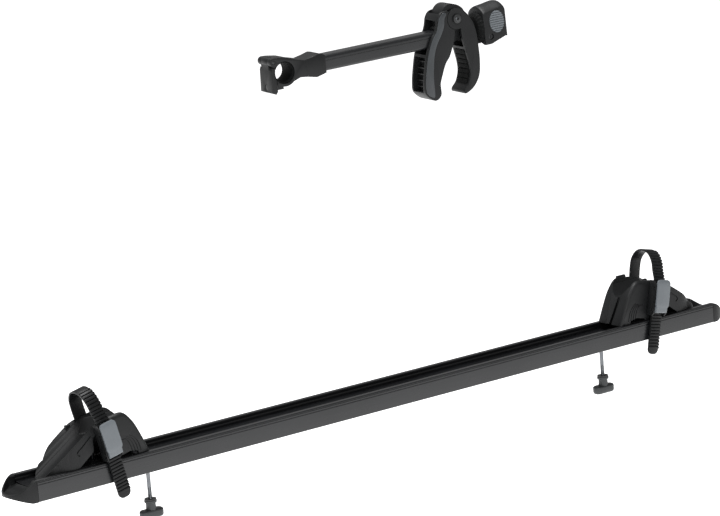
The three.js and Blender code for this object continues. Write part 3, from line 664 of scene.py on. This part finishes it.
STRAP_LINE = [
    (23, 42),
    (23.2, 58),
    (24.2, 74),
    (22.5, 88),
    (13.5, 99.5),
    (0, 103),
    (-13.5, 99),
    (-23.5, 88),
    (-28.5, 74),
    (-33.4, 62),
    (-34.7, 50),
    (-34.7, 10),
    (-35.6, -20),
    (-36.4, -54),
]
TOOTH_START = 84
TOOTH_STOP = 9


def strap():
    """A flat band over the wheel, with a ratchet tooth every few millimetres down its outer side."""
    line = [Vector(p) for p in smooth(STRAP_LINE, 40)]
    total = sum((b - a).length for a, b in zip(line, line[1:]))
    inner, outer, run, next_stop = [], [], 0, 0
    for start, end in zip(line, line[1:]):
        while run + (end - start).length >= next_stop and next_stop <= total:
            share = max(0, next_stop - run) / (end - start).length
            at = start.lerp(end, share)
            ahead = (end - start).normalized()
            outward = Vector((ahead.y, -ahead.x))
            inner.append(at - outward * STRAP_CORE)
            outer.append((at, outward, next_stop))
            next_stop += TOOTH_PITCH / 8
        run += (end - start).length
    steps = []
    for index, (at, outward, place) in enumerate(outer):
        toothed = TOOTH_START < place < total - TOOTH_STOP
        height = TOOTH_HEIGHT if toothed and index % 8 > 1 else 0
        steps.append(at + outward * (STRAP_CORE + height))
    outline = [tuple(p) for p in inner] + [tuple(p) for p in reversed(steps)]
    band = slab("x", outline, -STRAP_HALF, STRAP_HALF)
    tip = slab("y", [(x, z + 66) for x, z in rounded_box(10.05, 120, 8, 8)], -60, 60)
    boss = rod("x", 3.2, -STRAP_HALF, STRAP_HALF, STRAP_EYE)
    return cut(joined(overlap(band, tip), boss), rod("x", 1.4, -20, 20, STRAP_EYE, 16))


def buckle_lever():
    """A light plate with a thumb lip, on a heel that turns on the lever pin."""
    inside = smooth([(-45, 18.6), (-45.4, 32), (-44.8, 50), (-43.8, 61)], 4)
    outside = smooth([(-45.2, 62.4), (-47.4, 56), (-48.6, 30), (-48.2, 18.6)], 5)
    plate = inside + outside
    blade = slab("x", plate, -12.6, 12.6)
    corners = slab("y", [(x, z + 40.4) for x, z in rounded_box(12.6, 22, 6, 8)], -60, -30)
    blade = rounded(overlap(blade, corners), 1.1, 3, angle=50)
    heel = [
        (-45, 10.8),
        (-41, 10.8),
        (-38, 13),
        (-38, 17),
        (-41, 19.4),
        (-45.6, 22),
        (-48, 22),
        (-47.4, 12.4),
    ]
    made = joined(blade, rounded(slab("x", heel, -10.8, 10.8), 0.6, 2))
    return cut(made, rod("x", 2.1, -20, 20, LEVER_PIN))


for side in ("left", "right"):
    here = holder_frame(side)
    band = rounded(leaning(strap()), 0.3, 2, angle=50)
    piece(f"{side}_ratchet_strap", band, here, STRAP, f"{side}_strap")
    piece(f"{side}_lever_plate", leaning(buckle_lever()), here, GREY_ABS, f"{side}_buckle_lever")
    for part, finish in (
        ("buckle_frame", NYLON),
        ("release_pawl", NYLON),
        ("lever_pin", STEEL),
        ("pawl_pin", STEEL),
        ("strap_pin", STEEL),
    ):
        width = 0.5 if finish == NYLON else 0.2
        cad_node = f"{side}_{part}"
        piece(f"{cad_node}_detail", rounded(from_cad(cad_node), width), MM, finish, cad_node)

# --- The frame arm -------------------------------------------------------------------------------


def arm_tube():
    """A rounded box tube with a fine decorative groove along each side."""
    outer = slab("x", rounded_box(14, 11.5, 4.5, 8), TUBE_START, TUBE_END)
    grooves = [bar((30, 300), sorted((sign * 13.1, sign * 20)), (3.6, 5.2)) for sign in (-1, 1)]
    return cut(outer, slab("x", rounded_box(12, 9.5, 4, 6), 30, 300), *grooves)


LEFT_HORN = [
    (272, 39.6),
    (261, 37.8),
    (254.4, 30),
    (251.6, 20),
    (248, 11),
    (240.5, 2),
    (231, -18),
    (225, -40),
    (221, -60),
    (221.6, -75),
    (236, -87),
    (247, -81),
    (248, -65),
    (252, -54),
    (260, -37),
    (270, -24),
    (281, 6),
    (276, 33),
]
RIGHT_HORN = [
    (299, 35),
    (308, 24),
    (315, 6),
    (317, -14),
    (317, -42),
    (313, -64),
    (302, -79),
    (288, -86),
    (286, -81),
    (294, -72),
    (299, -58),
    (299, -44),
    (296, -26),
    (291, 6),
    (296, 25),
]
LEFT_EDGE = [(272, -23), (264.5, -30), (258, -41), (252, -54), (248.6, -66), (247.4, -78)]
RIGHT_EDGE = [(296.4, -23), (298.8, -38), (299.4, -50), (298, -62), (293.4, -73)]


def closed_smooth(points, steps=5):
    """A smooth outline, with its one corner where it starts and ends."""
    return smooth([*points, points[0]], steps)[:-1]


def pad_band(edge, sign, near, far):
    """A band along a jaw's inner edge."""
    return [(x + sign * near, z) for x, z in edge] + [(x + sign * far, z) for x, z in reversed(edge)]


def hub(radius, low, high):
    return [rod("y", radius, low, high, JAW_PIVOT, 48), rod("y", radius, -high, -low, JAW_PIVOT, 48)]


def jaw(horn, owns_outside, kept, *rooms):
    """A hooked jaw: two side plates over the head, layered like scissors at the pivot, and a foot."""
    plate, face = JAW_HALF - JAW_PLATE, JAW_HALF
    middle = (plate + face) / 2
    body = slab("y", closed_smooth(horn), -JAW_HALF, JAW_HALF)
    body = rounded(
        body, 1.5, 3, angle=50, only=lambda e: abs(e.verts[0].co.y - e.verts[1].co.y) < 1
    )
    between = cut(bar((180, 360), (-plate, plate), (-19, 80)), kept)
    body = cut(body, between, *rooms)
    if owns_outside:
        body = cut(body, *hub(JAW_HUB + 0.8, 0, middle + 0.2))
        body = joined(body, *hub(JAW_HUB, middle + 0.2, face))
        face_rings = [
            cut(rod("y", 8.2, low, high, JAW_PIVOT, 48), rod("y", 7.6, -30, 30, JAW_PIVOT, 48))
            for low, high in ((-face - 1, 0.5 - face), (face - 0.5, face + 1))
        ]
        body = cut(body, *face_rings)
    else:
        body = cut(body, *hub(JAW_HUB + 0.8, middle - 0.2, face + 1))
        body = joined(body, *hub(JAW_HUB, plate, middle - 0.2))
    return cut(body, rod("y", 4.2, -30, 30, JAW_PIVOT))


def ribbed_hollow():
    """The room behind the left jaw's outer edge, less the thin webs across it."""
    half = JAW_HALF - JAW_PLATE
    outline = [(200, -23), (240, -23), (235.5, -40), (231.5, -60), (231, -73), (200, -73)]
    room = slab("y", outline, -half, half)
    webs = [
        bar((227.5 + 0.0046 * (z + 67) ** 2, 250), (-20, 20), (z, z + 1.6))
        for z in (-31, -40, -49, -58, -67)
    ]
    return cut(room, *webs)


STRIPE = [
    (260.6, 36),
    (255.6, 29.4),
    (252.8, 20),
    (249.2, 11),
    (242, 2),
    (232.4, -18),
    (226.4, -40),
    (222.4, -60),
    (223, -73),
    (229, -79.6),
    (235.6, -80),
    (236.6, -57),
    (238.4, -41),
    (242, -22),
    (248, -7),
    (258, 8),
    (263, 18),
    (265, 28),
    (268.6, 35),
    (266, 38),
]


def jaw_stripe():
    return rounded(slab("y", closed_smooth(STRIPE, 4), -JAW_HALF - 1.4, -JAW_HALF - 0.2), 0.5, 2, angle=50)


def pivot_bolt():
    """A black washer with the bolt's grey button head in it, on each side."""
    washers = [
        rounded(rod("y", 6.4, low, high, JAW_PIVOT, 40), 0.5, 2)
        for low, high in ((-22, -19.75), (19.75, 22))
    ]
    buttons = [
        rounded(rod("y", 3.6, low, high, JAW_PIVOT, 40), 0.4, 2)
        for low, high in ((-22.6, -21), (21, 22.6))
    ]
    sockets = [rod("y", 1.7, low, high, JAW_PIVOT, 6) for low, high in ((-25, -20.4), (20.4, 25))]
    made = cut(joined(rod("y", 3.9, -21, 21, JAW_PIVOT), *washers, *buttons), *sockets)
    for face in made.faces:
        across = face.calc_center_median() - Vector((JAW_PIVOT[0], 0, JAW_PIVOT[1]))
        face.material_index = int(abs(across.y) > 22 and 1.8 < math.hypot(across.x, across.z) < 3.7)
    return made


def along_spindle(bm):
    return moved(bm, Matrix.Translation((0, 0, SPINDLE_Z)))


def torque_knob():
    """A wide knob with two flat sides and a hollowed underside, turned round its spindle."""
    waist = [(KNOB_START, 28), (331, 31), (345, 33), (359, 35), (364.4, 34), (KNOB_END, 31)]
    body = along_spindle(turned([(KNOB_START, 0), *smooth(waist, 5), (KNOB_END, 0)], 72))
    body = overlap(body, bar((300, 400), (-KNOB_FLAT, KNOB_FLAT), (-60, 60)))
    below = moved(
        rod("x", HOLLOW_RADIUS, -50, 50, steps=64),
        Matrix.Translation((KNOB_START, 0, SPINDLE_Z - HOLLOW_DROP))
        @ Matrix.Rotation(HOLLOW_TILT, 4, "Y"),
    )
    body = rounded(cut(body, below), 2.4, 4, angle=25)
    oval = arc(INLAY_CENTRE, (INLAY_SIZE[0] + 0.4, INLAY_SIZE[1] + 0.4), 0, 360, 48)[:-1]
    pockets = [slab("y", oval, *sorted((sign * 20, sign * 26))) for sign in (-1, 1)]
    lock_hole = rod("y", 4.4, -40, -14, LOCK)
    spindle_hole = rod("x", 5.3, 300, KNOB_START + 20.4, (0, SPINDLE_Z))
    return cut(body, *pockets, lock_hole, spindle_hole)


def knob_collar():
    """A cone with finger ribs round it."""
    cone = turned([(321.5, 0), (321.5, 18), (324.5, 22.4), (KNOB_START - 0.4, 24), (KNOB_START - 0.4, 0)], 48)
    for vert in cone.verts:
        turn = round(math.atan2(vert.co.z, vert.co.y) / math.tau * 48)
        if turn % 2:
            vert.co.yz = vert.co.yz * 0.94
    return cut(along_spindle(cone), rod("x", 5.3, 300, 400, (0, SPINDLE_Z)))


def knob_inlay(sign):
    """An oval pad with finger ribs across it."""
    oval = arc(INLAY_CENTRE, INLAY_SIZE, 0, 360, 48)[:-1]
    blank = slab("y", oval, -1.05, 1.05)
    teeth = [(2, -12)]
    for rib in range(12):
        z = -10 + rib * 3.3
        teeth += [(0.1, z), (-1.2, z + 0.5), (-1.2, z + 2.1), (0.1, z + 2.6)]
    teeth += [(0.1, 31), (2, 31)]
    ribbed = overlap(blank, slab("x", teeth, 330, 365))
    if sign > 0:
        moved(ribbed, Matrix.Scale(-1, 4, (0, 1, 0)))
    return moved(ribbed, Matrix.Translation((0, sign * (KNOB_FLAT - 0.1), 0)))


piece("arm_box_tube", arm_tube(), ARM_FRAME, ANODISED, "arm_tube", crease=24)
left_room = slab("y", pad_band(LEFT_EDGE, 1, -4.4, 30), -14.5, 14.5)
right_room = slab("y", pad_band(RIGHT_EDGE, -1, -4.4, 12), -14.5, 14.5)
bridge = bar((240, 259), (-30, 30), (27, 60))
solid_foot = bar((180, 360), (-30, 30), (-40, -18.8))
left_jaw = jaw(LEFT_HORN, False, bridge, left_room, ribbed_hollow())
right_jaw = jaw(RIGHT_HORN, True, solid_foot, right_room)
piece("left_jaw_horn", left_jaw, ARM_FRAME, NYLON, "left_jaw")
piece("right_jaw_horn", right_jaw, ARM_FRAME, NYLON, "right_jaw")
# The stripe wears the grey ABS with painted shade, darker than the levers.
piece("jaw_side_stripe", jaw_stripe(), ARM_FRAME, GREY_ABS_PAINTED_SHADE, "left_jaw_stripe")
jaw_pivot = piece("jaw_pivot", pivot_bolt(), ARM_FRAME, BLACK_STEEL, "pivot_bolt")
jaw_pivot.data.materials.append(STEEL)
piece("torque_knob_body", torque_knob(), ARM_FRAME, NYLON, "torque_knob")
piece("ribbed_collar", knob_collar(), ARM_FRAME, RUBBER, "knob_collar", crease=20)
piece("front_inlay", knob_inlay(-1), ARM_FRAME, GREY_ABS, "front_knob_inlay")
piece("back_inlay", knob_inlay(1), ARM_FRAME, GREY_ABS, "back_knob_inlay")
for cad_node, finish, width in (
    ("clamp_housing", NYLON, 0.9),
    ("clamp_gate", NYLON, 0.9),
    ("gate_pin", BLACK_STEEL, 0.3),
    ("housing_liner", RUBBER, 0.3),
    ("gate_liner", RUBBER, 0.3),
    ("clamp_screw", BLACK_STEEL, 0.3),
    ("jaw_head", NYLON, 0.9),
    ("left_jaw_pad", RUBBER, 0.3),
    ("right_jaw_pad", RUBBER, 0.3),
    ("knob_spindle", STEEL, 0.3),
    ("lock_cylinder", BLACK_STEEL, 0.2),
):
    piece(f"{cad_node}_detail", rounded(from_cad(cad_node), width), MM, finish, cad_node)

# --- Floor, light and camera ---------------------------------------------------------------------


def lit_floor(tree, place):
    """White paper lit from below, so that no shadow shows on it."""
    fibres = node(tree, "ShaderNodeTexNoise", {"Vector": place, "Scale": per_metre(300)})
    whites = [(0.3, linear("#f6f6f6")), (0.7, linear("#fafafa"))]
    paper = node(tree, "ShaderNodeValToRGB", {"Fac": fibres.outputs["Fac"]}, whites)
    return node(
        tree,
        "ShaderNodeBsdfPrincipled",
        {
            "Base Color": paper.outputs["Color"],
            "Roughness": 0.9,
            "Emission Color": (1, 1, 1, 1),
            "Emission Strength": 0.85,
        },
    )


def floor():
    bm = bmesh.new()
    bmesh.ops.create_grid(bm, x_segments=1, y_segments=1, size=40)
    bmesh.ops.translate(bm, verts=bm.verts, vec=(0, 0, -0.42))
    mesh = bpy.data.meshes.new("studio_floor")
    bm.to_mesh(mesh)
    bm.free()
    made = bpy.data.objects.new("studio_floor", mesh)
    bpy.context.scene.collection.objects.link(made)
    mesh.materials.append(surface("pale_floor", lit_floor))


def softbox(name, place, aim, size, power):
    """A large soft area light."""
    light = bpy.data.lights.new(name, "AREA")
    light.shape = "RECTANGLE"
    light.size, light.size_y = size
    light.energy = power
    lamp = bpy.data.objects.new(name, light)
    lamp.location = place
    lamp.rotation_euler = (Vector(aim) - Vector(place)).to_track_quat("-Z", "Y").to_euler()
    bpy.context.scene.collection.objects.link(lamp)


def studio():
    world = bpy.data.worlds.new("white_studio")
    world.use_nodes = True
    world.node_tree.nodes["Background"].inputs["Color"].default_value = (1, 1, 1, 1)
    world.node_tree.nodes["Background"].inputs["Strength"].default_value = 0.35
    bpy.context.scene.world = world
    softbox("overhead_box", (-0.3, 0.2, 3.0), (0, 0, 0.2), (2.6, 1.0), 120)
    softbox("front_box", (-1.6, -3.4, 1.4), (0, 0, 0.2), (1.4, 1.0), 38)


def camera():
    """A long lens, turned and tipped a little, looking along the rail from its left front."""
    turn, dip, roll = math.radians(35.752), math.radians(12.068), math.radians(-4.581)
    ahead = Vector((math.sin(turn) * math.cos(dip), math.cos(turn) * math.cos(dip), -math.sin(dip)))
    level = Vector((math.cos(turn), -math.sin(turn), 0))
    upward = Vector((math.sin(turn) * math.sin(dip), math.cos(turn) * math.sin(dip), math.cos(dip)))
    right = math.cos(roll) * level + math.sin(roll) * upward
    top = math.cos(roll) * upward - math.sin(roll) * level
    lens = bpy.data.cameras.new("long_lens")
    lens.sensor_width = 36
    lens.lens = 167.1
    lens.clip_end = 200
    made = bpy.data.objects.new("long_lens", lens)
    made.matrix_world = Matrix((right, top, -ahead)).transposed().to_4x4()
    made.location = Vector((0.49636, 0.72981, 0.03)) - ahead * 5.74443
    bpy.context.scene.collection.objects.link(made)
    bpy.context.scene.camera = made


floor()
studio()
camera()
bpy.context.scene.view_settings.view_transform = "Standard"
